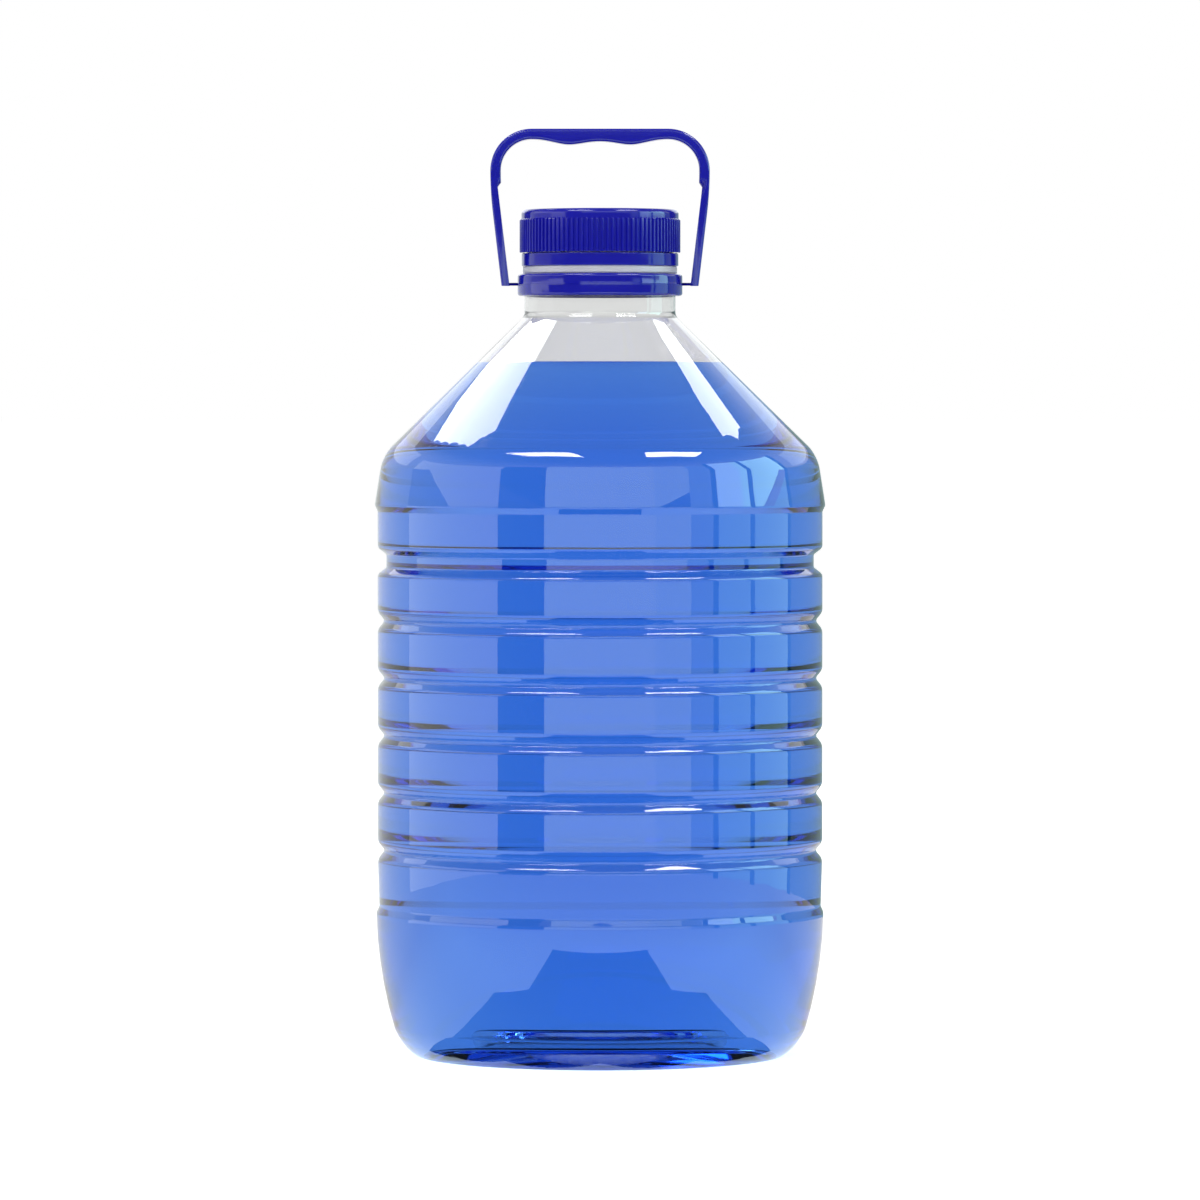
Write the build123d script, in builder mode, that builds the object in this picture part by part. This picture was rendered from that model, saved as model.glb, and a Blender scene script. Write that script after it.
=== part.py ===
from build123d import *
import os
from math import cos, radians, sin, tan

# A floor cleaner bottle of about 4 litres, in millimetres. +Z is up the neck, Z = 0 is the foot ring,
# and X is the hinge line of the carry handle.

# Body of the bottle
body_radius = 76.7
wall = 0.5
foot_inner_radius = 59.5
foot_outer_radius = 63.5
heel_radius = 71.2
heel_height = 10.0
ridge_proud = 0.45
ridge_height = 48.0
ridge_rise = 1.4
ridge_rounding = 1.5
waist_inset = 0.5
step_length = 2.2
foot_rounding = 2.0
foot_inner_rounding = 1.5

# Pushed-up base
push_up_height = 14.6
push_up_ring_height = 12.6
push_up_ring_radius = 31.0
push_up_ring_step = 1.2
push_up_skirt_radius = 54.0
push_up_skirt_height = 8.8
push_up_rounding = 1.0
push_up_skirt_rounding = 3.0

# Grooves round the body
groove_count = 5
groove_first_height = 70.8
groove_pitch = 19.8
groove_depth = 2.4
groove_half_width = 3.0
groove_floor_rounding = 1.2
groove_edge_rounding = 3.0
wide_groove_rise = 20.6
wide_groove_depth = 3.0
wide_groove_floor = 4.4
wide_groove_slope = 2.3
wide_groove_floor_rounding = 1.0
wide_groove_edge_rounding = 2.0

# Shoulder
lip_rise = 17.0
lip_proud = 1.0
lip_slope = 2.2
lip_step_rounding = 0.8
lip_rounding = 1.2
shoulder_rise = 17.2
shoulder_inset = 1.7
shoulder_angle = 45.6
shoulder_rounding = 14.0

# Neck
neck_radius = 26.0
neck_wall = 1.5
neck_straight = 6.8
neck_rounding = 3.0
ring_bead_proud = 0.9
ring_bead_height = 1.3
ledge_radius = 26.55
ledge_thickness = 2.45
finish_radius = 23.9
bore_radius = 22.4
band_bead_proud = 1.2
band_bead_height = 1.5

# Three-start thread
thread_starts = 3
thread_pitch = 4.0
thread_turn = 230.0
thread_height = 1.0
thread_root_width = 1.9
thread_crest_width = 0.9
thread_clearance = 0.3
thread_sink = 0.25
thread_first_rise = 7.2

# Cap and tamper band
cap_height = 14.8
cap_top_thickness = 1.5
cap_edge_radius = 1.6
rim_height = 2.9
rim_radius = 27.1
rib_count = 98
rib_proud = 0.6
rib_root_width = 1.25
rib_crest_width = 0.65
liner_thickness = 0.9
liner_clearance = 0.3
face_gap = 0.05
band_radius = 27.0
band_height = 4.4
band_bore_clearance = 0.35
band_hook_height = 1.5
band_hook_clearance = 0.3
band_gap = 0.3
nib_count = 12
nib_width = 0.8
nib_height = 0.18

# Handle ring
ring_radius = 28.4
ring_height = 7.6
ring_clearance = 0.2
ring_edge_radius = 1.0
ring_bead = 0.12
hinge_rise = 4.1
pivot_radius = 0.5
pivot_clearance = 0.1
pivot_depth = 0.8

# Carry handle
handle_reach = 53.4
handle_half_width = 37.75
handle_corner_radius = 14.3
handle_splay = 6.75
handle_side_radius = 125.0
strap_thickness = 3.6
leg_relief = 0.85
leg_end_drop = 0.6
relief_rise = 34.9
grip_swell = 1.85
grip_swell_offset = 10.7
grip_middle = 0.75
grip_depth = 10.0
leg_depth = 6.4
handle_edge_radius = 0.9

# Cleaner
liquid_gap = 0.1
liquid_level = 238.8

# Heights up the bottle
groove_last_height = groove_first_height + (groove_count - 1) * groove_pitch
wide_groove_height = groove_last_height + wide_groove_rise
lip_height = wide_groove_height + lip_rise
lip_radius = body_radius + lip_proud
shoulder_height = lip_height + lip_slope + shoulder_rise
shoulder_radius = body_radius - shoulder_inset
neck_foot = shoulder_height + (shoulder_radius - neck_radius) / tan(radians(shoulder_angle))
ring_bottom = neck_foot + neck_straight
ring_top = ring_bottom + ring_height
hinge_height = ring_bottom + hinge_rise
ledge_bottom = ring_top + ring_clearance
ledge_top = ledge_bottom + ledge_thickness
band_top = ledge_top + band_height
cap_bottom = band_top + band_gap
cap_top = cap_bottom + cap_height
liner_top = cap_top - cap_top_thickness - face_gap
liner_bottom = liner_top - liner_thickness
neck_top = liner_bottom - face_gap
thread_lead = thread_starts * thread_pitch
thread_rise = thread_lead * thread_turn / 360
cap_bore_radius = finish_radius + thread_height + thread_clearance


def points(corners):
    """The places of a list of corners, each given as radius, height and rounding."""
    return [(radius, height) for radius, height, rounding in corners]


def roundings(corners):
    """The roundings of the corners between a line's two ends."""
    return [rounding for radius, height, rounding in corners[1:-1]]


# Outline of the blown body, from the middle of the base round to the neck
base_corners = [
    (0, push_up_height, 0),
    (push_up_ring_radius - push_up_ring_step, push_up_height, push_up_rounding),
    (push_up_ring_radius, push_up_ring_height, push_up_rounding),
    (push_up_skirt_radius, push_up_skirt_height, push_up_skirt_rounding),
    (foot_inner_radius, 0, foot_inner_rounding),
    (foot_outer_radius, 0, 0),
]
ridge_radius = body_radius + ridge_proud
wall_corners = [
    (ridge_radius, ridge_height, 0),
    (ridge_radius, ridge_height + ridge_rise, ridge_rounding),
    (body_radius - waist_inset, ridge_height + ridge_rise + step_length, ridge_rounding),
]
for groove in range(groove_count):
    groove_height = groove_first_height + groove * groove_pitch
    wall_corners += [
        (body_radius, groove_height - groove_half_width, groove_edge_rounding),
        (body_radius - groove_depth, groove_height, groove_floor_rounding),
        (body_radius, groove_height + groove_half_width, groove_edge_rounding),
    ]
wide_floor = body_radius - wide_groove_depth
wide_half = wide_groove_floor / 2
wall_corners += [
    (body_radius, wide_groove_height - wide_half - wide_groove_slope, wide_groove_edge_rounding),
    (wide_floor, wide_groove_height - wide_half, wide_groove_floor_rounding),
    (wide_floor, wide_groove_height + wide_half, wide_groove_floor_rounding),
    (body_radius, wide_groove_height + wide_half + wide_groove_slope, wide_groove_edge_rounding),
    (body_radius, lip_height, lip_step_rounding),
    (lip_radius, lip_height + lip_slope, lip_rounding),
    (shoulder_radius, shoulder_height, shoulder_rounding),
    (neck_radius, neck_foot, neck_rounding),
    (neck_radius, ring_bottom, 0),
]

with BuildSketch(Plane.XZ) as body_profile:
    with BuildLine():
        FilletPolyline(*points(base_corners), radius=roundings(base_corners))
        heel_point = (heel_radius, heel_height)
        side = TangentArc((ridge_radius, ridge_height), heel_point, tangent=(0, -1))
        TangentArc(heel_point, (foot_outer_radius, 0), tangent=side % 1)
        FilletPolyline(*points(wall_corners), radius=roundings(wall_corners))
        Polyline((neck_radius, ring_bottom), (0, ring_bottom), (0, push_up_height))
    make_face()
    fillet(body_profile.vertices().sort_by_distance((foot_outer_radius, 0))[0], foot_rounding)


def inset_profile(amount):
    """The body's outline drawn in by an amount, as a half section beside the axis."""
    with BuildSketch(Plane.XZ) as inset:
        add(body_profile.sketch)
        mirror(about=Plane.YZ)
        offset(amount=-amount, mode=Mode.REPLACE)
        split(bisect_by=Plane.YZ, keep=Keep.TOP)
    return inset.sketch


# Neck finish: cylinder with the ring's bead, ledge, and threaded finish with the tamper bead
bead_radius = neck_radius + ring_bead_proud
bead_bottom = hinge_height - ring_bead_height
tamper_radius = finish_radius + band_bead_proud
tamper_bottom = ledge_top + band_hook_height + band_hook_clearance
thread_first_height = ledge_top + thread_first_rise
neck_inner_radius = neck_radius - neck_wall
neck_corners = [
    (0, neck_foot - wall),
    (neck_radius, neck_foot - wall),
    (neck_radius, bead_bottom),
    (bead_radius, bead_bottom),
    (bead_radius, bead_bottom + ring_bead_height),
    (neck_radius, bead_bottom + ring_bead_height + ring_bead_proud),
    (neck_radius, ledge_bottom),
    (ledge_radius, ledge_bottom),
    (ledge_radius, ledge_top),
    (finish_radius, ledge_top),
    (finish_radius, tamper_bottom),
    (tamper_radius, tamper_bottom),
    (tamper_radius, tamper_bottom + band_bead_height / 3),
    (finish_radius, tamper_bottom + band_bead_height),
    (finish_radius, neck_top),
    (0, neck_top),
]
bore_corners = [
    (0, neck_foot - neck_wall),
    (neck_radius - wall, neck_foot - neck_wall),
    (neck_radius - wall, neck_foot),
    (neck_inner_radius, neck_foot + 2 * neck_wall),
    (neck_inner_radius, ring_bottom + ring_height / 3),
    (bore_radius, ring_bottom + ring_height / 3 + 2 * neck_wall),
    (bore_radius, neck_top),
    (0, neck_top),
]


def thread_profile(root_radius, crest_radius, height):
    """Trapezoid of one thread, set across the neck's wall at the helix's first point."""
    sunk_radius = root_radius - thread_sink if crest_radius > root_radius else root_radius + thread_sink
    with BuildSketch(Plane.XZ) as tooth:
        Polygon(
            (sunk_radius, height - thread_root_width / 2),
            (crest_radius, height - thread_crest_width / 2),
            (crest_radius, height + thread_crest_width / 2),
            (sunk_radius, height + thread_root_width / 2),
            align=None,
        )
    return tooth.sketch


def thread(root_radius, crest_radius, first_height, turn_offset):
    """All starts of the thread round the Z axis, each a ridge swept along its own helix."""
    with BuildPart() as ridges:
        with BuildLine(mode=Mode.PRIVATE) as path:
            Helix(thread_lead, thread_rise, root_radius, center=(0, 0, first_height))
        sweep(thread_profile(root_radius, crest_radius, first_height), path=path.line, is_frenet=True)
    turns = PolarLocations(0, thread_starts, start_angle=turn_offset)
    return [ridges.part.moved(place) for place in turns.local_locations]


with BuildPart() as bottle:
    with BuildSketch(Plane.XZ):
        Polygon(*neck_corners, align=None)
    revolve()
    add(thread(finish_radius, finish_radius + thread_height, thread_first_height, 0))
    revolve(body_profile.sketch)
    revolve(inset_profile(wall), mode=Mode.SUBTRACT)
    with BuildSketch(Plane.XZ):
        Polygon(*bore_corners, align=None)
    revolve(mode=Mode.SUBTRACT)

with BuildPart() as cleaning_liquid:
    revolve(inset_profile(wall + liquid_gap))
    split(bisect_by=Plane.XY.offset(liquid_level), keep=Keep.BOTTOM)

# Cap: plain shell with its threads, then the grip ribs, their top ends sloped into the smooth rim
rib_top = cap_top - rim_height
with BuildPart() as grip_rib:
    with BuildSketch(Plane.XY.offset(cap_bottom)):
        Polygon(
            (rim_radius - rib_proud, -rib_root_width / 2),
            (rim_radius, -rib_root_width / 2),
            (rim_radius + rib_proud, -rib_crest_width / 2),
            (rim_radius + rib_proud, rib_crest_width / 2),
            (rim_radius, rib_root_width / 2),
            (rim_radius - rib_proud, rib_root_width / 2),
            align=None,
        )
    extrude(amount=rib_top - cap_bottom)
    chamfer(grip_rib.edges().group_by(Axis.Z)[-1].sort_by(Axis.X)[-1], rib_proud)

with BuildPart() as cap:
    with BuildSketch(Plane.XY.offset(cap_bottom)):
        Circle(rim_radius)
    extrude(amount=cap_height)
    fillet(cap.edges().group_by(Axis.Z)[-1], cap_edge_radius)
    with BuildSketch(Plane.XY.offset(cap_bottom)):
        Circle(cap_bore_radius)
    extrude(amount=cap_height - cap_top_thickness, mode=Mode.SUBTRACT)
    add(thread(cap_bore_radius, finish_radius + thread_clearance, thread_first_height, 180 / thread_starts))
    with PolarLocations(0, rib_count):
        add(grip_rib.part)

with BuildPart() as cap_liner:
    with BuildSketch(Plane.XY.offset(liner_bottom)):
        Circle(cap_bore_radius - liner_clearance)
    extrude(amount=liner_thickness)

# Tamper band: hooks under the tamper bead, with the stubs of its broken bridges on top
band_bore = tamper_radius + band_bore_clearance
hook_bore = finish_radius + band_hook_clearance
with BuildPart() as tamper_band:
    with BuildSketch(Plane.XZ):
        Polygon(
            (band_bore, ledge_top),
            (band_radius, ledge_top),
            (band_radius, band_top),
            (band_bore, band_top),
            (band_bore, ledge_top + band_hook_height),
            (hook_bore, ledge_top + band_hook_height),
            align=None,
        )
    revolve()
    nib_radius = (band_bore + band_radius) / 2
    with BuildSketch(Plane.XY.offset(band_top)):
        with PolarLocations(nib_radius, nib_count):
            Rectangle(nib_width, nib_width)
    extrude(amount=nib_height)

# Ring of the handle: lips above and below the neck's bead, and a socket at each side for the handle
groove_radius = bead_radius + ring_clearance
lip_bore = neck_radius + ring_clearance
with BuildPart() as neck_ring:
    with BuildSketch(Plane.XY.offset(ring_bottom)):
        Circle(ring_radius)
    extrude(amount=ring_height)
    fillet(neck_ring.edges(), ring_edge_radius)
    with BuildSketch(Plane.XZ):
        with Locations((ring_radius, hinge_height)):
            Rectangle(2 * ring_bead, 2 * pivot_radius)
    revolve()
    with BuildSketch(Plane.XZ):
        Polygon(
            (0, ring_bottom),
            (lip_bore, ring_bottom),
            (lip_bore, bead_bottom - ring_clearance),
            (groove_radius, bead_bottom - ring_clearance),
            (groove_radius, bead_bottom + ring_bead_height + ring_clearance),
            (lip_bore, bead_bottom + ring_bead_height + ring_bead_proud + ring_clearance),
            (lip_bore, ring_top),
            (0, ring_top),
            align=None,
        )
    revolve(mode=Mode.SUBTRACT)
    socket_floor = ring_radius - pivot_depth - pivot_clearance
    for side_plane in (Plane.YZ, Plane.YZ.rotated((0, 0, 180))):
        with BuildSketch(side_plane.offset(socket_floor)):
            with Locations((0, hinge_height)):
                Circle(pivot_radius + pivot_clearance)
        extrude(amount=ring_radius - socket_floor + ring_bead + pivot_clearance, mode=Mode.SUBTRACT)

# Carry handle: a strap that follows a rounded outline, thinner in its legs, with a waved grip
handle_top = hinge_height + handle_reach
leg_end = hinge_height - leg_end_drop
corner_x = handle_half_width - handle_corner_radius
corner_z = handle_top - handle_corner_radius
inner_corner_radius = handle_corner_radius - strap_thickness
side_end_x = handle_half_width - handle_side_radius * (1 - cos(radians(handle_splay)))
side_end_z = corner_z - handle_side_radius * sin(radians(handle_splay))
leg_slope = tan(radians(handle_splay))


def leg_point(inset, height):
    """A point on the straight of the leg, drawn in from its outer face."""
    return (side_end_x - inset / cos(radians(handle_splay)) - (side_end_z - height) * leg_slope, height)


with BuildPart() as carry_handle:
    with BuildSketch(Plane.XZ):
        with BuildLine():
            Line((0, handle_top), (corner_x, handle_top))
            CenterArc((corner_x, corner_z), handle_corner_radius, 0, 90)
            outer_side = TangentArc(
                (handle_half_width, corner_z), (side_end_x, side_end_z), tangent=(0, -1))
            Polyline(outer_side @ 1, leg_point(0, leg_end), leg_point(strap_thickness, leg_end))
            inner_side = TangentArc(
                (handle_half_width - strap_thickness, corner_z),
                leg_point(strap_thickness, side_end_z),
                tangent=(0, -1))
            Line(inner_side @ 1, leg_point(strap_thickness, leg_end))
            CenterArc((corner_x, corner_z), inner_corner_radius, 0, 90)
            Spline(
                (corner_x, corner_z + inner_corner_radius),
                (grip_swell_offset, corner_z + inner_corner_radius - grip_swell),
                (0, corner_z + inner_corner_radius - grip_middle),
                tangents=((-1, 0), (-1, 0)),
            )
            Line((0, corner_z + inner_corner_radius - grip_middle), (0, handle_top))
        make_face()
        mirror(about=Plane.YZ)
    extrude(amount=grip_depth / 2, both=True)
    with BuildSketch(Plane.YZ):
        Polygon(
            (-leg_depth / 2, leg_end),
            (leg_depth / 2, leg_end),
            (grip_depth / 2, corner_z),
            (grip_depth / 2, handle_top),
            (-grip_depth / 2, handle_top),
            (-grip_depth / 2, corner_z),
            align=None,
        )
    extrude(amount=handle_half_width, both=True, mode=Mode.INTERSECT)
    long_edges = carry_handle.edges().filter_by(lambda edge: edge.center().Z > leg_end + handle_edge_radius)
    fillet(long_edges.filter_by(Axis.Y, reverse=True), handle_edge_radius)
    relief_height = hinge_height + relief_rise
    with BuildSketch(Plane.XZ):
        Polygon(
            leg_point(strap_thickness - leg_relief, leg_end),
            leg_point(strap_thickness - leg_relief, relief_height),
            leg_point(2 * strap_thickness, relief_height),
            leg_point(2 * strap_thickness, leg_end),
            align=None,
        )
        mirror(about=Plane.YZ)
    extrude(amount=grip_depth, both=True, mode=Mode.SUBTRACT)
    pivot_start = ring_radius - pivot_depth
    pivot_end = leg_point(strap_thickness / 2, hinge_height)[0]
    for side_plane in (Plane.YZ, Plane.YZ.rotated((0, 0, 180))):
        with BuildSketch(side_plane.offset(pivot_start)):
            with Locations((0, hinge_height)):
                Circle(pivot_radius)
        extrude(amount=pivot_end - pivot_start)

bottle.part.label = "bottle"
cleaning_liquid.part.label = "cleaning_liquid"
cap.part.label = "cap"
cap_liner.part.label = "cap_liner"
tamper_band.part.label = "tamper_band"
neck_ring.part.label = "neck_ring"
carry_handle.part.label = "carry_handle"

os.makedirs("parts", exist_ok=True)
for piece in (bottle, cleaning_liquid, cap, cap_liner, tamper_band, neck_ring, carry_handle):
    export_step(piece.part, f"parts/{piece.part.label}.step")
print("hinge height", round(hinge_height, 3), "top", round(handle_top, 3), "cap top", round(cap_top, 3))
print("litres", round(cleaning_liquid.part.volume / 1e6, 3))
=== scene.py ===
import bmesh
import bpy
from math import atan2, ceil, degrees, hypot, pi, radians, tan
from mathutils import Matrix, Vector


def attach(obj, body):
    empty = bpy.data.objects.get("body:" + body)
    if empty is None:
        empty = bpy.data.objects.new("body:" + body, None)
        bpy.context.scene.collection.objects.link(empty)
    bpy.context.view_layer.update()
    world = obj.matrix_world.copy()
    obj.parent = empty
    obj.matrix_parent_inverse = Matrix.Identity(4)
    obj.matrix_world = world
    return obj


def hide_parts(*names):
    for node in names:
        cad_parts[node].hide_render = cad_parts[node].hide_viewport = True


# Floor cleaner bottle: clear blown bottle with blue cleaner, ribbed screw cap and a swinging carry handle.
# Lengths in the piece dictionaries are in millimetres and angles in degrees.

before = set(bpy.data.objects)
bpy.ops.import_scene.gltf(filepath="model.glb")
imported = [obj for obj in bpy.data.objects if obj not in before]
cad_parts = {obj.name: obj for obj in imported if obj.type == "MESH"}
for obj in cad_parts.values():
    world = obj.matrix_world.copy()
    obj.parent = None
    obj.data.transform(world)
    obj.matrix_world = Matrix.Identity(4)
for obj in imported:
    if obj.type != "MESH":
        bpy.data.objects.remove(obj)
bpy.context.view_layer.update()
scene = bpy.context.scene
scene.view_settings.view_transform = "Standard"
mm = 0.001


# Shader nodes

class Line:
    # one value on its way through a node tree: the usual signs add Math nodes
    def __init__(self, board, socket):
        self.board = board
        self.socket = socket

    def maths(self, operation, *values):
        return self.board.add("ShaderNodeMath", {"operation": operation}, dict(enumerate(values)))

    def __add__(self, other):
        return self.maths("ADD", self, other)

    def __radd__(self, other):
        return self.maths("ADD", other, self)

    def __rsub__(self, other):
        return self.maths("SUBTRACT", other, self)

    def __mul__(self, other):
        return self.maths("MULTIPLY", self, other)

    def __rmul__(self, other):
        return self.maths("MULTIPLY", other, self)

    def atMost(self, other):
        return self.maths("MINIMUM", self, other)


class Board:
    # the node tree of a material or of the world
    def __init__(self, owner):
        owner.use_nodes = True
        self.tree = owner.node_tree
        self.tree.nodes.clear()

    def add(self, kind, settings=None, values=None, out=0):
        node = self.tree.nodes.new(kind)
        for name, setting in (settings or {}).items():
            setattr(node, name, setting)
        for place, value in (values or {}).items():
            if isinstance(value, Line):
                self.tree.links.new(value.socket, node.inputs[place])
            else:
                node.inputs[place].default_value = value
        return Line(self, node.outputs[out]) if len(node.outputs) else node

    def place(self):
        return self.add("ShaderNodeTexCoord", out="Object")

    def ray(self, kind):
        return self.add("ShaderNodeLightPath", out=kind)

    def noise(self, scale, detail=3.0):
        return self.add("ShaderNodeTexNoise", {}, {
            "Vector": self.place(), "Scale": scale, "Detail": detail, "Roughness": 0.55})

    def blend(self, factor, first, second):
        return self.add("ShaderNodeMix", {"data_type": "RGBA"}, {0: factor, 6: first, 7: second}, out=2)

    def fade(self, value, start, end, first, last, kind="SMOOTHSTEP"):
        return self.add("ShaderNodeMapRange", {"interpolation_type": kind}, {
            0: value, 1: start, 2: end, 3: first, 4: last})

    def bump(self, height, strength, distance):
        return self.add("ShaderNodeBump", {}, {
            "Strength": strength, "Distance": distance, "Height": height})


def newMaterial(name):
    material = bpy.data.materials.new(name)
    return material, Board(material)


def letLampsThrough(board, shader):
    # lamp light passes straight in, so that what stands behind the clear wall is lit
    clear = board.add("ShaderNodeBsdfTransparent", {}, {"Color": (1, 1, 1, 1)})
    return board.add("ShaderNodeMixShader", {}, {0: board.ray("Is Shadow Ray"), 1: shader, 2: clear})


# Modelling helpers

drawing = {"stepAngle": 13.0, "longRounding": 5.0, "longFiner": 3, "near": 1e-6, "leastRounding": 0.15}


def deselect():
    if bpy.context.object and bpy.context.object.mode != "OBJECT":
        bpy.ops.object.mode_set(mode="OBJECT")
    bpy.ops.object.select_all(action="DESELECT")


def choose(piece, test):
    # selects the vertices of a piece in edit mode that pass a test of their place
    bpy.ops.mesh.select_all(action="DESELECT")
    mesh = bmesh.from_edit_mesh(piece.data)
    for vertex in mesh.verts:
        vertex.select = test(vertex.co)
    mesh.select_flush_mode()
    bmesh.update_edit_mesh(piece.data)


def turnAt(before, corner, after):
    first = atan2(corner[1] - before[1], corner[0] - before[0])
    second = atan2(after[1] - corner[1], after[0] - corner[0])
    return (second - first + pi) % (2 * pi) - pi


def drawPath(name, start, steps):
    # one vertex at the start, drawn out step by step to a chain of edges; the piece stays in edit mode
    deselect()
    bpy.ops.mesh.primitive_plane_add(size=mm)
    piece = bpy.context.object
    piece.name = piece.data.name = name
    bpy.ops.object.mode_set(mode="EDIT")
    bpy.ops.mesh.select_mode(type="VERT")
    bpy.ops.mesh.select_all(action="SELECT")
    bpy.ops.mesh.merge(type="CENTER")
    bpy.ops.transform.translate(value=start)
    for step in steps:
        bpy.ops.mesh.extrude_vertices_move(TRANSFORM_OT_translate={"value": step})
    return piece


def drawOutline(name, corners, stepAngle=drawing["stepAngle"]):
    # half section in the XZ plane, from corners of (radius, height, rounding)
    piece = drawPath(name, (corners[0][0] * mm, 0, corners[0][1] * mm), [
        ((there[0] - here[0]) * mm, 0, (there[1] - here[1]) * mm)
        for here, there in zip(corners, corners[1:])])
    for before, corner, after in zip(corners, corners[1:], corners[2:]):
        if corner[2]:
            spot = Vector((corner[0] * mm, 0, corner[1] * mm))
            choose(piece, lambda place: (place - spot).length < drawing["near"])
            turn = abs(turnAt(before, corner, after))
            isLong = corner[2] >= drawing["longRounding"]
            fineness = radians(stepAngle / drawing["longFiner"] if isLong else stepAngle)
            bpy.ops.mesh.bevel(offset=corner[2] * mm * tan(turn / 2), affect="VERTICES",
                               segments=max(2, ceil(turn / fineness)))
    return piece


def spinOutline(steps):
    bpy.ops.mesh.select_all(action="SELECT")
    bpy.ops.mesh.spin(steps=steps, angle=2 * pi, center=(0, 0, 0), axis=(0, 0, 1))
    closeUp()


def closeUp():
    bpy.ops.mesh.select_all(action="SELECT")
    bpy.ops.mesh.remove_doubles(threshold=drawing["near"])
    bpy.ops.mesh.normals_make_consistent(inside=False)


def applyModifier(piece, kind, **settings):
    bpy.context.view_layer.objects.active = piece
    modifier = piece.modifiers.new(kind.lower(), kind)
    for name, setting in settings.items():
        setattr(modifier, name, setting)
    bpy.ops.object.modifier_apply(modifier=modifier.name)


def smooth(piece, angle=35):
    deselect()
    piece.select_set(True)
    bpy.context.view_layer.objects.active = piece
    bpy.ops.object.shade_smooth_by_angle(angle=radians(angle))
    applyModifier(piece, "WEIGHTED_NORMAL", keep_sharp=True)


def paint(piece, material, test):
    # gives a second material to the faces that pass a test of their middle and normal
    piece.data.materials.append(material)
    for face in piece.data.polygons:
        if test(face.center, face.normal):
            face.material_index = len(piece.data.materials) - 1


def finish(piece, body, node):
    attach(piece, body)
    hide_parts(node)
    print("made", piece.name, len(piece.data.polygons), "faces")


def drawIn(corners, amount):
    # an outline moved inwards: each corner goes to where its two moved sides meet
    lines = []
    for here, there in zip(corners, corners[1:]):
        run, rise = there[0] - here[0], there[1] - here[1]
        length = hypot(run, rise)
        left = (-rise / length * amount, run / length * amount)
        lines.append(((here[0] + left[0], here[1] + left[1]), (run / length, rise / length)))
    moved = [(corners[0][0], lines[0][0][1], 0)]
    for index in range(1, len(corners) - 1):
        (one, oneWay), (two, twoWay) = lines[index - 1], lines[index]
        cross = oneWay[0] * twoWay[1] - oneWay[1] * twoWay[0]
        along = ((two[0] - one[0]) * twoWay[1] - (two[1] - one[1]) * twoWay[0]) / cross
        rounding = corners[index][2] - amount if cross > 0 else corners[index][2] + amount
        moved.append((one[0] + oneWay[0] * along, one[1] + oneWay[1] * along,
                      max(rounding, drawing["leastRounding"])))
    return moved


# Camera at the photograph's place

view = {"distance": 2.552, "height": 0.226, "lens": 222.0, "sensor": 36.0, "down": 1.548, "reach": 200}
bpy.ops.object.camera_add(location=(0, -view["distance"], view["height"]),
                          rotation=(radians(90 - view["down"]), 0, 0))
camera = bpy.context.object
camera.name = "photoCamera"
camera.data.lens = view["lens"]
camera.data.sensor_width = view["sensor"]
camera.data.clip_end = view["reach"]
scene.camera = camera
print("camera set")


# Materials

petLook = {"tint": (0.855, 0.86, 0.855, 1), "wetTint": (0.943, 0.945, 0.947, 1), "ior": 1.57,
           "uneven": 0.01, "unevenScale": 160.0, "ripple": 0.04, "rippleScale": 38.0, "rippleDepth": 0.0006}
hazeLook = {"dull": (0.84, 0.84, 0.92, 1), "bright": (0.92, 0.92, 0.97, 1), "scale": 240.0, "clear": 0.45,
            "roughness": 0.36, "uneven": 0.08, "bump": 0.05, "bumpDepth": 0.0003}


def makeClearPet():
    material, board = newMaterial("clearBlownPlastic")
    ripple = board.noise(petLook["rippleScale"], 2.0)  # the blown wall is never quite even
    shader = board.add("ShaderNodeBsdfPrincipled", {}, {
        "Base Color": petLook["tint"], "IOR": petLook["ior"], "Transmission Weight": 1.0,
        "Roughness": petLook["uneven"] * board.noise(petLook["unevenScale"]),
        "Normal": board.bump(ripple, petLook["ripple"], petLook["rippleDepth"])})
    board.add("ShaderNodeOutputMaterial", {}, {"Surface": letLampsThrough(board, shader)})
    return material


def makeWetPet():
    # the wall's inner face where the cleaner wets it: the cleaner's own skin bends the light there
    material, board = newMaterial("wettedPlastic")
    shader = board.add("ShaderNodeBsdfTransparent", {}, {"Color": petLook["wetTint"]})
    board.add("ShaderNodeOutputMaterial", {}, {"Surface": shader})
    return material


def makeHazyPet():
    # the heavy neck finish, cooled slowly and so a little milky
    material, board = newMaterial("hazyPlastic")
    haze = board.noise(hazeLook["scale"])
    shader = board.add("ShaderNodeBsdfPrincipled", {}, {
        "Base Color": board.blend(haze, hazeLook["dull"], hazeLook["bright"]),
        "IOR": petLook["ior"], "Transmission Weight": hazeLook["clear"],
        "Roughness": hazeLook["roughness"] + hazeLook["uneven"] * haze,
        "Normal": board.bump(haze, hazeLook["bump"], hazeLook["bumpDepth"])})
    board.add("ShaderNodeOutputMaterial", {}, {"Surface": letLampsThrough(board, shader)})
    return material


liquidLook = {"ior": 1.42, "absorbed": (21.5, 10.9, 0.6)}  # absorbed share of light per metre


def makeCleaner(name, ior):
    material, board = newMaterial(name)
    densest = max(liquidLook["absorbed"])
    passed = [1 - part / densest for part in liquidLook["absorbed"]]
    shader = board.add("ShaderNodeBsdfGlass", {}, {"Color": (1, 1, 1, 1), "IOR": ior, "Roughness": 0.0})
    volume = board.add("ShaderNodeVolumeAbsorption", {}, {"Color": (*passed, 1), "Density": densest})
    board.add("ShaderNodeOutputMaterial", {}, {
        "Surface": letLampsThrough(board, shader), "Volume": volume})
    return material


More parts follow.
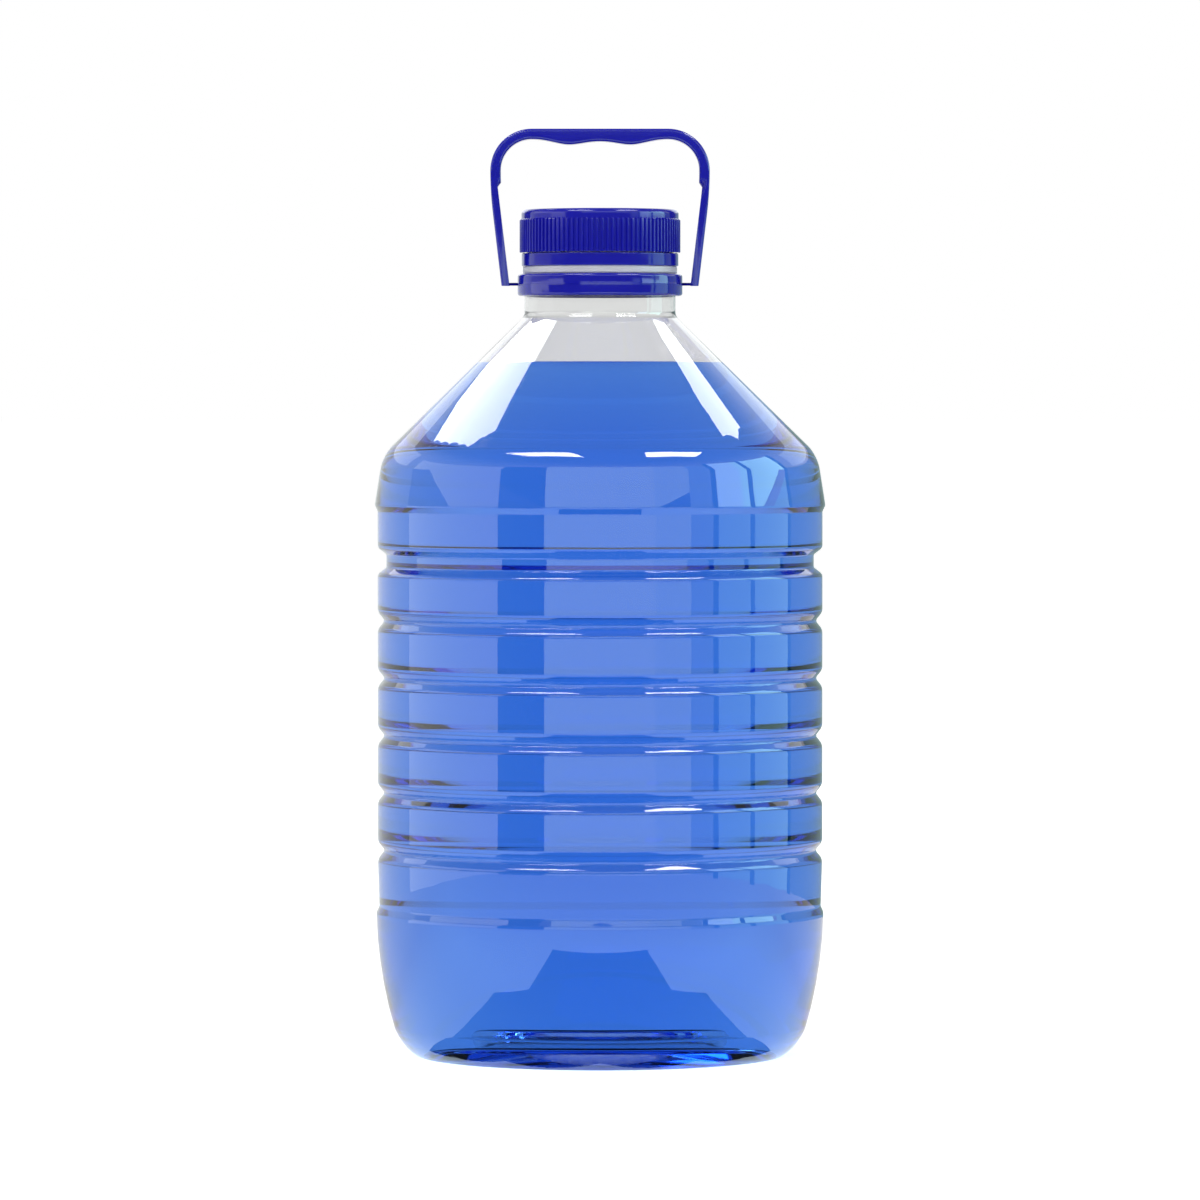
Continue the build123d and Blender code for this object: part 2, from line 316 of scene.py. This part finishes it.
plasticLook = {"colour": (0.0072, 0.0080, 0.400, 1), "shade": (0.0055, 0.0062, 0.350, 1), "specular": 0.5,
               "cloudScale": 55.0, "uneven": 0.05, "unevenScale": 420.0, "fineScale": 2600.0, "fine": 0.15,
               "waveScale": 140.0, "bumpDepth": 0.0002}


def makeBluePlastic(name, roughness, grain):
    # injection moulded polyethylene: cloudy colour, a fine satin grain and slightly uneven gloss
    material, board = newMaterial(name)
    look = plasticLook
    clouds = board.noise(look["cloudScale"], 4.0)
    fine = board.noise(look["fineScale"], 2.0)
    wave = board.noise(look["waveScale"], 2.0)
    shader = board.add("ShaderNodeBsdfPrincipled", {}, {
        "Base Color": board.blend(clouds, look["shade"], look["colour"]),
        "Roughness": roughness + look["uneven"] * board.noise(look["unevenScale"]),
        "Specular IOR Level": look["specular"],
        "Normal": board.bump(fine * look["fine"] + wave, grain, look["bumpDepth"])})
    board.add("ShaderNodeOutputMaterial", {}, {"Surface": shader})
    return material


foamLook = {"dull": (0.78, 0.78, 0.75, 1), "bright": (0.86, 0.86, 0.84, 1), "shadeScale": 90.0,
            "cellScale": 1800.0, "roughness": 0.75, "specular": 0.3, "bump": 0.3, "bumpDepth": 0.0002}


def makeLinerFoam():
    material, board = newMaterial("linerFoam")
    cells = board.add("ShaderNodeTexVoronoi", {}, {"Vector": board.place(), "Scale": foamLook["cellScale"]})
    shade = board.noise(foamLook["shadeScale"])
    shader = board.add("ShaderNodeBsdfPrincipled", {}, {
        "Base Color": board.blend(shade, foamLook["dull"], foamLook["bright"]),
        "Roughness": foamLook["roughness"], "Specular IOR Level": foamLook["specular"],
        "Normal": board.bump(cells, foamLook["bump"], foamLook["bumpDepth"])})
    board.add("ShaderNodeOutputMaterial", {}, {"Surface": shader})
    return material


clearPet = makeClearPet()
wetPet = makeWetPet()
hazyPet = makeHazyPet()
cleanerSide = makeCleaner("blueCleaner", liquidLook["ior"] / petLook["ior"])  # against the plastic
cleanerTop = makeCleaner("blueCleanerTop", liquidLook["ior"])  # against the air
capPlastic = makeBluePlastic("capPlastic", 0.07, 0.06)
ringPlastic = makeBluePlastic("ringPlastic", 0.06, 0.05)
handlePlastic = makeBluePlastic("handlePlastic", 0.07, 0.07)
linerFoam = makeLinerFoam()
print("materials made")


# Blown bottle

bottleShape = {
    "steps": 192, "wall": 0.5, "baseTop": 30.0,
    "base": [(0, 14.6, 0), (29.8, 14.6, 1.0), (31.0, 12.6, 1.0), (54.0, 8.8, 3.0), (59.5, 0, 1.5),
             (63.5, 0, 2.0), (69.15, 3.614, 18.4), (77.15, 28.534, 123.6)],
    "body": 76.7, "ridge": 77.15, "waist": 76.2, "ridgeTop": 49.4, "waistHeight": 51.6,
    "grooveFirst": 70.8, "groovePitch": 19.8, "grooves": 5, "grooveDepth": 2.4, "grooveHalf": 3.0,
    "wideGroove": 170.6, "wideDepth": 3.0, "wideHalf": 2.2, "wideSlope": 2.3,
    "lipFoot": 187.6, "lipTop": 189.8, "lip": 77.7, "shoulder": 75.0, "shoulderHeight": 207.0,
    "neck": 26.0, "neckFoot": 254.984, "ringFoot": 261.784,
    "bead": 26.9, "beadFoot": 264.584, "beadTop": 265.884, "beadSlope": 0.9, "ledge": 26.55,
    "ledgeFoot": 269.584, "ledgeTop": 272.034, "finish": 23.9, "hookBead": 25.1, "hookFoot": 273.834,
    "hookSide": 0.5, "hookTop": 275.334, "mouth": 289.034, "bore": 22.4, "boreTop": 269.0,
    "lowBore": 25.35, "boreFoot": 262.6, "boreEnd": 0.25, "hazeReach": 2.0,
}


def bodyCorners():
    shape = bottleShape
    corners = shape["base"] + [
        (shape["ridge"], shape["ridgeTop"], 1.5), (shape["waist"], shape["waistHeight"], 1.5)]
    for number in range(shape["grooves"]):
        height = shape["grooveFirst"] + number * shape["groovePitch"]
        corners += [
            (shape["body"], height - shape["grooveHalf"], 3.0),
            (shape["body"] - shape["grooveDepth"], height, 1.2),
            (shape["body"], height + shape["grooveHalf"], 3.0),
        ]
    floor = shape["body"] - shape["wideDepth"]
    reach = shape["wideHalf"] + shape["wideSlope"]
    corners += [
        (shape["body"], shape["wideGroove"] - reach, 2.0),
        (floor, shape["wideGroove"] - shape["wideHalf"], 1.0),
        (floor, shape["wideGroove"] + shape["wideHalf"], 1.0),
        (shape["body"], shape["wideGroove"] + reach, 2.0),
        (shape["body"], shape["lipFoot"], 0.8), (shape["lip"], shape["lipTop"], 1.2),
        (shape["shoulder"], shape["shoulderHeight"], 14.0), (shape["neck"], shape["neckFoot"], 3.0),
    ]
    return corners


def neckCorners():
    shape = bottleShape
    return [
        (shape["neck"], shape["beadFoot"], 0.25), (shape["bead"], shape["beadFoot"], 0.3),
        (shape["bead"], shape["beadTop"], 0.3), (shape["neck"], shape["beadTop"] + shape["beadSlope"], 0.3),
        (shape["neck"], shape["ledgeFoot"], 0.3), (shape["ledge"], shape["ledgeFoot"], 0.45),
        (shape["ledge"], shape["ledgeTop"], 0.45), (shape["finish"], shape["ledgeTop"], 0.3),
        (shape["finish"], shape["hookFoot"], 0.2), (shape["hookBead"], shape["hookFoot"], 0.2),
        (shape["hookBead"], shape["hookFoot"] + shape["hookSide"], 0.3),
        (shape["finish"], shape["hookTop"], 0.3),
        (shape["finish"], shape["mouth"], 0.4), (shape["bore"], shape["mouth"], 0.4),
        (shape["bore"], shape["boreTop"], 3.0), (shape["lowBore"], shape["boreFoot"], 3.0),
        (shape["lowBore"], shape["neckFoot"] + shape["boreEnd"], 3.5),
    ]


threadShape = {"starts": 3, "lead": 12.0, "turn": 230.0, "first": 279.234, "root": 23.65, "crest": 24.9,
               "rootHalf": 0.95, "crestHalf": 0.45, "crestRounding": 0.25, "steps": 96, "startAngle": 0.0}


def makeThreads(shape):
    ridges = []
    for start in range(shape["starts"]):
        ridge = drawOutline("thread", [
            (shape["root"], shape["first"] - shape["rootHalf"], 0),
            (shape["crest"], shape["first"] - shape["crestHalf"], shape["crestRounding"]),
            (shape["crest"], shape["first"] + shape["crestHalf"], shape["crestRounding"]),
            (shape["root"], shape["first"] + shape["rootHalf"], 0)], 30)
        bpy.ops.mesh.select_all(action="SELECT")
        bpy.ops.mesh.edge_face_add()
        bpy.ops.mesh.delete(type="ONLY_FACE")
        bpy.ops.object.mode_set(mode="OBJECT")
        applyModifier(ridge, "SCREW", angle=radians(shape["turn"]), steps=shape["steps"],
                      render_steps=shape["steps"], screw_offset=shape["lead"] * shape["turn"] / 360 * mm)
        bpy.ops.object.mode_set(mode="EDIT")
        bpy.ops.mesh.select_all(action="SELECT")
        bpy.ops.mesh.fill_holes(sides=0)
        bpy.ops.mesh.select_all(action="SELECT")
        angle = radians(shape["startAngle"]) + 2 * pi * start / shape["starts"]
        bpy.ops.transform.rotate(value=-angle, orient_axis="Z", center_override=(0, 0, 0))
        closeUp()
        bpy.ops.object.mode_set(mode="OBJECT")
        ridges.append(ridge)
    return ridges


def join(piece, additions):
    for addition in additions:
        applyModifier(piece, "BOOLEAN", operation="UNION", solver="MANIFOLD", object=addition)
        bpy.data.objects.remove(addition)


def isWetted(middle, normal):
    # inner faces below the cleaner's level: those of the base look up, those of the wall look to the axis
    if middle.z > liquidShape["level"] * mm:
        return False
    if middle.z < bottleShape["baseTop"] * mm:
        return normal.z > 0
    return normal.x * middle.x + normal.y * middle.y < 0


def insideCorners(amount):
    # the body's outline moved inwards, up to a point on the neck
    return drawIn(bodyCorners() + [(bottleShape["neck"], bottleShape["ringFoot"], 0)], amount)


def makeBottle():
    shape = bottleShape
    inside = insideCorners(shape["wall"])[:-1][::-1]  # from the shoulder down to the base
    piece = drawOutline("bottleShell", bodyCorners() + neckCorners() + inside)
    spinOutline(shape["steps"])
    bpy.ops.mesh.select_all(action="SELECT")
    bpy.ops.mesh.bisect(plane_co=(0, 0, liquidShape["level"] * mm), plane_no=(0, 0, 1))
    bpy.ops.object.mode_set(mode="OBJECT")
    piece.data.materials.append(clearPet)
    paint(piece, wetPet, isWetted)
    paint(piece, hazyPet, lambda middle, normal: middle.z > (shape["ledgeFoot"] - shape["hazeReach"]) * mm)
    join(piece, makeThreads(threadShape))
    smooth(piece)
    finish(piece, "vessel", "bottle")


# Cleaner inside

liquidShape = {"steps": 192, "inset": 0.6, "level": 238.8, "meniscus": 0.25, "meniscusReach": 1.0,
               "meniscusRounding": 4.0, "rimRounding": 0.1, "flat": 0.1, "upward": 0.3}


def makeLiquid():
    shape = liquidShape
    corners = insideCorners(shape["inset"])
    (lowRadius, lowHeight, _), (topRadius, topHeight, _) = corners[-2:]
    edge = shape["level"] + shape["meniscus"]
    rim = lowRadius + (topRadius - lowRadius) * (edge - lowHeight) / (topHeight - lowHeight)
    corners = corners[:-1] + [
        (rim, edge, shape["rimRounding"]),
        (rim - shape["meniscusReach"], shape["level"], shape["meniscusRounding"]), (0, shape["level"], 0)]
    piece = drawOutline("cleanerBody", corners)
    spinOutline(shape["steps"])
    bpy.ops.object.mode_set(mode="OBJECT")
    piece.data.materials.append(cleanerSide)
    lowest = (shape["level"] - shape["flat"]) * mm
    paint(piece, cleanerTop, lambda middle, normal: middle.z > lowest and normal.z > shape["upward"])
    smooth(piece, 60)
    finish(piece, "vessel", "cleaning_liquid")


makeBottle()
makeLiquid()


# Screw cap

capShape = {
    "steps": 196, "foot": 276.734, "top": 291.534, "topThickness": 1.5, "rim": 27.1, "bore": 25.2,
    "topRounding": 1.6, "edge": 0.25, "inner": 0.3, "dishRim": 3.4, "dishFoot": 3.9, "dishDepth": 0.25,
    "ribs": 98, "ribLift": 0.02, "ribTop": 288.634, "ribProud": 0.6, "ribRoot": 1.25, "ribCrest": 0.65,
    "ribSunk": 0.3, "ribSlope": 1.3, "ribRounding": 0.14,
}
capThread = {**threadShape, "root": 25.45, "crest": 24.2, "startAngle": 60.0}


def makeStud(name, radii, width, heights):
    # one block on the +X side, between two radii and two heights
    deselect()
    middle = ((radii[0] + radii[1]) / 2 * mm, 0, (heights[0] + heights[1]) / 2 * mm)
    bpy.ops.mesh.primitive_cube_add(size=mm, location=middle)
    stud = bpy.context.object
    stud.name = name
    bpy.ops.object.transform_apply(location=True)
    bpy.ops.object.mode_set(mode="EDIT")
    bpy.ops.mesh.select_all(action="SELECT")
    size = (radii[1] - radii[0], width, heights[1] - heights[0])
    bpy.ops.transform.resize(value=size, center_override=middle)
    return stud


def copyRound(count):
    bpy.ops.mesh.select_all(action="SELECT")
    bpy.ops.mesh.spin(steps=count - 1, angle=2 * pi * (count - 1) / count, dupli=True,
                      center=(0, 0, 0), axis=(0, 0, 1))
    bpy.ops.object.mode_set(mode="OBJECT")


def makeRibs():
    shape = capShape
    crest = shape["rim"] + shape["ribProud"]
    slack = 0.1
    rib = makeStud("gripRibs", (shape["rim"] - shape["ribSunk"], crest), shape["ribRoot"],
                   (shape["foot"] + shape["ribLift"], shape["ribTop"]))
    choose(rib, lambda place: place.x > (crest - slack) * mm)
    bpy.ops.transform.resize(value=(1, shape["ribCrest"] / shape["ribRoot"], 1), center_override=(0, 0, 0))
    choose(rib, lambda place: place.x > (crest - slack) * mm and place.z > (shape["ribTop"] - slack) * mm)
    bpy.ops.transform.translate(value=(0, 0, -shape["ribProud"] * shape["ribSlope"] * mm))
    choose(rib, lambda place: place.x > (crest - slack) * mm)
    bpy.ops.mesh.bevel(offset=shape["ribRounding"] * mm, affect="EDGES", segments=2)
    copyRound(shape["ribs"])
    return rib


def makeCap():
    shape = capShape
    under = shape["top"] - shape["topThickness"]
    piece = drawOutline("screwCap", [
        (0, under, 0), (shape["bore"], under, shape["inner"]), (shape["bore"], shape["foot"], shape["edge"]),
        (shape["rim"], shape["foot"], shape["edge"]), (shape["rim"], shape["top"], shape["topRounding"]),
        (shape["rim"] - shape["dishRim"], shape["top"], shape["inner"]),
        (shape["rim"] - shape["dishFoot"], shape["top"] - shape["dishDepth"], shape["inner"]),
        (0, shape["top"] - shape["dishDepth"], 0)], 15)
    spinOutline(shape["steps"])
    bpy.ops.object.mode_set(mode="OBJECT")
    piece.data.materials.append(capPlastic)
    join(piece, makeThreads(capThread) + [makeRibs()])
    smooth(piece)
    finish(piece, "closure", "cap")


# Tamper band and cap liner

bandShape = {
    "steps": 192, "bore": 25.45, "outer": 27.0, "foot": 272.034, "footWidth": 1.0, "top": 276.434,
    "hook": 24.2, "hookTop": 273.534, "hookSlope": 0.6, "hookRounding": 0.3, "edge": 0.35,
    "nibs": 12, "nibWidth": 0.8, "nibHeight": 0.18, "nibSunk": 0.3, "nibRounding": 0.08,
}
linerShape = {"steps": 128, "radius": 24.9, "foot": 289.084, "top": 289.984, "edge": 0.2}


def makeBand():
    shape = bandShape
    start = (shape["outer"] - shape["footWidth"], shape["foot"], 0)
    piece = drawOutline("tamperBand", [
        start, (shape["outer"], shape["foot"], shape["edge"]), (shape["outer"], shape["top"], shape["edge"]),
        (shape["bore"], shape["top"], 0.2), (shape["bore"], shape["hookTop"], 0.15),
        (shape["hook"], shape["hookTop"], shape["hookRounding"]),
        (shape["hook"] + shape["hookSlope"], shape["foot"], shape["hookRounding"]), start], 20)
    spinOutline(shape["steps"])
    bpy.ops.object.mode_set(mode="OBJECT")
    piece.data.materials.append(capPlastic)
    middle = (shape["bore"] + shape["outer"]) / 2
    nibs = makeStud("bridgeStubs", (middle - shape["nibWidth"] / 2, middle + shape["nibWidth"] / 2),
                    shape["nibWidth"], (shape["top"] - shape["nibSunk"], shape["top"] + shape["nibHeight"]))
    choose(nibs, lambda place: place.z > shape["top"] * mm)
    bpy.ops.mesh.bevel(offset=shape["nibRounding"] * mm, affect="EDGES", segments=2)
    copyRound(shape["nibs"])
    join(piece, [nibs])
    smooth(piece)
    finish(piece, "vessel", "tamper_band")


def makeLiner():
    shape = linerShape
    piece = drawOutline("capLiner", [
        (0, shape["foot"], 0), (shape["radius"], shape["foot"], shape["edge"]),
        (shape["radius"], shape["top"], shape["edge"]), (0, shape["top"], 0)], 20)
    spinOutline(shape["steps"])
    bpy.ops.object.mode_set(mode="OBJECT")
    piece.data.materials.append(linerFoam)
    smooth(piece)
    finish(piece, "liner", "cap_liner")


# Handle ring and carry handle, from merged copies of their CAD nodes

ringShape = {"radius": 28.4, "hinge": 265.884, "beadHalf": 0.5, "beadSlope": 0.24, "outside": 0.06,
             "near": 0.01}
handleShape = {"reliefHeight": 300.784, "reliefX": 35.357, "reliefSlope": 1.5, "splay": 6.75,
               "depthSlope": 0.986, "near": 0.01, "nearX": 0.2}


def copyNode(node, name):
    deselect()
    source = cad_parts[node]
    source.select_set(True)
    bpy.context.view_layer.objects.active = source
    bpy.ops.object.duplicate()
    piece = bpy.context.object
    piece.name = name
    piece.data.materials.clear()
    bpy.ops.object.mode_set(mode="EDIT")
    bpy.ops.mesh.select_mode(type="VERT")
    closeUp()
    return piece


def makeRing():
    # the bead that runs round the ring gets sloping sides
    shape = ringShape
    piece = copyNode("neck_ring", "handleRing")
    for side in (1, -1):
        edge = (shape["hinge"] + side * shape["beadHalf"]) * mm
        choose(piece, lambda place: hypot(place.x, place.y) > (shape["radius"] + shape["outside"]) * mm
               and abs(place.z - edge) < shape["near"] * mm)
        bpy.ops.transform.translate(value=(0, 0, -side * shape["beadSlope"] * mm))
    bpy.ops.object.mode_set(mode="OBJECT")
    piece.data.materials.append(ringPlastic)
    smooth(piece, 30)
    finish(piece, "ring", "neck_ring")


def makeHandle():
    # the step inside each limb gets a sloping end
    shape = handleShape
    piece = copyNode("carry_handle", "carryHandle")
    for side in (1, -1):
        choose(piece, lambda place: abs(place.z - shape["reliefHeight"] * mm) < shape["near"] * mm
               and abs(side * place.x - shape["reliefX"] * mm) < shape["nearX"] * mm)
        bpy.ops.transform.translate(value=(
            -side * shape["reliefSlope"] * tan(radians(shape["splay"])) * mm, 0, -shape["reliefSlope"] * mm))
        bpy.ops.transform.resize(value=(1, shape["depthSlope"], 1), center_override=(0, 0, 0))
    bpy.ops.object.mode_set(mode="OBJECT")
    piece.data.materials.append(handlePlastic)
    smooth(piece, 40)
    finish(piece, "handle", "carry_handle")


makeCap()
makeBand()
makeLiner()
makeRing()
makeHandle()


# Studio

# Metres from here on. The screens and panels are glowing cards, no lamps, seen only in the object's gloss:
# they paint its reflections, highlights and glints, and the dark ones paint shade into that gloss.
studio = {"worldLevel": 0.50, "overhead": 0.30, "overheadFade": (0.42, 0.72),
          "floorSize": 160, "floorColour": (0.82, 0.82, 0.82, 1), "floorGlow": 0.60, "floorInGlass": 1.0,
          "floorShadeAtFoot": 0.88, "footFade": (0.1, 0.9), "caustic": (1.6, 2.15, 2.7),
          "causticFade": (0.05, -0.12), "screenRadius": 0.66, "barRadius": 0.65, "barHeight": 0.60,
          "barColour": (0.05, 0.2, 0.3), "ceiling": 1.8, "stripWidth": 0.30, "stripLevel": 12}


def grey(level):
    return level, level, level, 1


def makeFloor():
    deselect()
    bpy.ops.mesh.primitive_plane_add(size=studio["floorSize"])
    floor = bpy.context.object
    floor.name = "studioFloor"
    material, board = newMaterial("paleFloor")
    diffuse = board.add("ShaderNodeBsdfDiffuse", {}, {"Color": studio["floorColour"]})
    glow = board.add("ShaderNodeEmission", {}, {"Strength": board.ray("Is Camera Ray") * studio["floorGlow"]})
    lit = board.add("ShaderNodeAddShader", {}, {0: diffuse, 1: glow})
    away = board.add("ShaderNodeVectorMath", {"operation": "LENGTH"}, {0: board.place()}, out=1)
    near = board.fade(away, *studio["footFade"], 1.0, 0.0)
    depth = board.add("ShaderNodeSeparateXYZ", {}, {0: board.place()}, out=1)
    inFront = board.fade(depth, *studio["causticFade"], 0.0, 1.0, "LINEAR")
    through = board.ray("Is Transmission Ray")
    gloss = board.ray("Is Glossy Ray") * (1 - through)
    # For rays through or off the glass the floor is a glow of set colour, not lit: painted shade darkens it
    # near the foot for rays through the glass, and a painted pool of caustic light brightens it in front for
    # rays off the gloss.
    behind = board.blend(near, grey(studio["floorInGlass"]), grey(studio["floorShadeAtFoot"]))
    before = board.blend(near * inFront, grey(1), (*studio["caustic"], 1))  # light gathered by the cleaner
    even = board.add("ShaderNodeEmission", {}, {"Color": board.blend(gloss, behind, before), "Strength": 1.0})
    lit = board.add("ShaderNodeMixShader", {}, {0: gloss + through, 1: lit, 2: even})
    below = board.add("ShaderNodeNewGeometry", out="Backfacing")
    clear = board.add("ShaderNodeBsdfTransparent")
    shader = board.add("ShaderNodeMixShader", {}, {0: below, 1: lit, 2: clear})
    board.add("ShaderNodeOutputMaterial", {}, {"Surface": shader})
    floor.data.materials.append(material)


def makeWorld():
    world = bpy.data.worlds.new("studioWorld")
    scene.world = world
    board = Board(world)
    direction = board.add("ShaderNodeTexCoord", out="Generated")
    height = board.add("ShaderNodeSeparateXYZ", {}, {0: direction}, out=2)
    fade = board.fade(height, *studio["overheadFade"], 1.0, studio["overhead"])
    camera = board.ray("Is Camera Ray")
    gloss, through = board.ray("Is Glossy Ray"), board.ray("Is Transmission Ray")
    straight = (camera + through).atMost(1.0)
    level = straight + (1 - straight) * (gloss * fade + (1 - gloss) * studio["worldLevel"])
    shader = board.add("ShaderNodeBackground", {}, {"Color": (1, 1, 1, 1), "Strength": level})
    board.add("ShaderNodeOutputWorld", {}, {"Surface": shader})


def makeLamp(name, centre, target, size, radiance):
    bpy.ops.object.light_add(type="AREA", location=centre)
    lamp = bpy.context.object
    lamp.name = name
    lamp.data.shape = "RECTANGLE"
    lamp.data.size, lamp.data.size_y = size
    lamp.data.energy = radiance * pi * size[0] * size[1]
    lamp.rotation_euler = (Vector(target) - Vector(centre)).to_track_quat("-Z", "Y").to_euler()
    lamp.visible_camera = lamp.visible_glossy = False
    return lamp


def makeCeilingStrip(name, near, far):
    # a long panel overhead between two points of the ceiling, facing down
    start, end = Vector((*near, studio["ceiling"])), Vector((*far, studio["ceiling"]))
    way, middle = end - start, (start + end) / 2
    lamp = makeLamp(name, middle, middle - Vector((0, 0, 1)), (studio["stripWidth"], way.length),
                    studio["stripLevel"])
    lamp.rotation_euler = (0, 0, atan2(way.y, way.x) - pi / 2)


def keepSector(piece, start, end):
    # deletes the faces of a round stage piece outside two angles, counted from the camera to the right
    bpy.ops.object.mode_set(mode="EDIT")
    bpy.ops.mesh.select_mode(type="FACE")
    bpy.ops.mesh.select_all(action="DESELECT")
    mesh = bmesh.from_edit_mesh(piece.data)
    for face in mesh.faces:
        middle = face.calc_center_median()
        face.select = not start < degrees(atan2(middle.x, -middle.y)) < end
    bmesh.update_edit_mesh(piece.data)
    bpy.ops.mesh.delete(type="FACE")
    bpy.ops.object.mode_set(mode="OBJECT")


def stageGlow(piece, colour):
    material, board = newMaterial(piece.name)
    glow = board.add("ShaderNodeEmission", {}, {"Color": (*colour, 1), "Strength": 1.0})
    board.add("ShaderNodeOutputMaterial", {}, {"Surface": glow})
    piece.data.materials.append(material)
    piece.visible_camera = piece.visible_diffuse = False
    piece.visible_transmission = piece.visible_shadow = False


def makeScreen(name, start, end, low, high, colour, radius=studio["screenRadius"]):
    # an upright curved screen round the object
    deselect()
    bpy.ops.mesh.primitive_cylinder_add(vertices=240, radius=radius, depth=high - low,
                                        end_fill_type="NOTHING", location=(0, 0, (low + high) / 2))
    screen = bpy.context.object
    screen.name = name
    bpy.ops.object.transform_apply(location=True)
    keepSector(screen, start, end)
    stageGlow(screen, colour)


screens = [  # name, first and last angle, foot, top, colour
    ("backLeftScreen", -171, -111, 0.0, 0.34, (0.95, 1.0, 1.0)),
    ("backLeftTop", -171, -120, 0.36, 0.55, (1.8, 1.85, 1.85)),
    ("leftSideScreen", -111, -75, 0.0, 0.262, (1.9, 1.95, 1.9)),
    ("leftSideShade", -111, -75, 0.262, 0.32, (0.6, 0.6, 0.65)),
    ("leftSideTop", -111, -75, 0.32, 0.50, (1.9, 1.95, 1.9)),
    ("leftScreen", -75, -51, 0.0, 0.215, (1.9, 1.95, 1.9)),
    ("leftTop", -75, -51, 0.305, 0.50, (1.9, 1.95, 1.9)),
    ("darkGap", -51, -27, 0.0, 0.215, (0.05, 0.06, 0.08)),
    ("darkGapTop", -51, -27, 0.36, 0.52, (0.05, 0.06, 0.08)),
    ("frontScreen", -27, 27, 0.0, 0.215, (2.0, 2.4, 1.9)),
    ("frontTop", -27, 27, 0.36, 0.55, (2.0, 2.4, 1.9)),
    ("frontRightScreen", 27, 45, 0.0, 0.215, (1.7, 2.1, 1.7)),
    ("frontRightTop", 27, 45, 0.36, 0.55, (1.7, 2.1, 1.7)),
    ("windowEdge", 45, 57, 0.0, 0.215, (0.8, 1.1, 1.2)),
    ("windowEdgeTop", 45, 57, 0.305, 0.55, (0.8, 1.1, 1.2)),
    ("windowLow", 57, 75, 0.0, 0.215, (1.0, 1.7, 1.7)),
    ("windowHigh", 57, 75, 0.305, 0.60, (3.0, 4.4, 5.2)),
    ("sideWindowLow", 75, 111, 0.0, 0.30, (1.0, 1.7, 1.7)),
    ("sideWindowHigh", 75, 111, 0.31, 0.60, (2.8, 5.0, 4.6)),
    ("leftShade", -75, -51, 0.215, 0.305, (0.16, 0.17, 0.22)),
    ("frontShade", -51, 45, 0.215, 0.36, (0.16, 0.17, 0.22)),
    ("rightShade", 45, 75, 0.215, 0.305, (0.16, 0.17, 0.22)),
    ("backRightScreen", 111, 171, 0.0, 0.34, (0.35, 0.48, 0.48)),
    ("backRightTop", 120, 171, 0.36, 0.55, (1.6, 1.7, 1.7)),
]
windowBars = [(57, 60), (79.5, 82.5), (108, 111)]
panels = [  # name, height, colour, corners
    ("footShade", 0.0004, (0.04, 0.06, 0.10), [
        (-0.095, -0.25), (0.095, -0.25), (0.068, -0.125), (0.094, -0.10), (0.062, -0.03),
        (0.0513, -0.0431), (0.0335, -0.058), (0, -0.067), (-0.0335, -0.058), (-0.0513, -0.0431),
        (-0.062, -0.03), (-0.094, -0.10), (-0.068, -0.125)]),
    ("leftPanel", studio["ceiling"], (8.0, 8.2, 8.1), [
        (-0.872, 0.60), (-0.895, 0.51), (-0.962, 0.604), (-1.062, 0.773), (-1.145, 0.96), (-1.235, 1.206),
        (-1.314, 1.473), (-1.39, 1.80), (-1.44, 2.4), (-1.44, 2.84), (-1.37, 2.46), (-1.284, 1.997)]),
    ("rightPanel", studio["ceiling"], (8.0, 8.2, 8.1), [
        (0.975, 0.79), (0.99, 0.715), (1.034, 0.734), (1.151, 0.986), (1.231, 1.244), (1.19, 1.46)]),
    ("leftFrontPanel", studio["ceiling"], (20, 20, 20), [
        (-1.14, -0.36), (-0.97, -0.80), (-0.22, -1.14), (-0.35, -0.68)]),
    ("rightFrontPanel", studio["ceiling"], (20, 20, 20), [
        (0.50, -0.62), (0.66, -1.04), (1.35, -0.60), (1.17, -0.20)]),
]
strips = [("leftLamp", (-0.88, 0.50), (-1.38, 2.10)), ("rightLamp", (0.58, -0.82), (1.26, -0.39)),
          ("frontLamp", (-1.04, -0.58), (-0.29, -0.90))]
fill = {"centre": (-0.5, -2.3, 1.3), "target": (0, 0, 0.2), "size": (1.8, 1.4), "radiance": 1.2}


def makePanel(name, height, colour, corners):
    # a flat level panel with the given corners
    panel = drawPath(name, (*corners[0], height), [
        (there[0] - here[0], there[1] - here[1], 0) for here, there in zip(corners, corners[1:])])
    bpy.ops.mesh.select_all(action="SELECT")
    bpy.ops.mesh.edge_face_add()
    bpy.ops.object.mode_set(mode="OBJECT")
    stageGlow(panel, colour)


makeFloor()
makeWorld()
for screen in screens:
    makeScreen(*screen)
for start, end in windowBars:
    makeScreen("windowBar", start, end, 0.0, studio["barHeight"], studio["barColour"], studio["barRadius"])
for panel in panels:
    makePanel(*panel)
for strip in strips:
    makeCeilingStrip(*strip)
makeLamp("frontFill", **fill)
print("studio set")
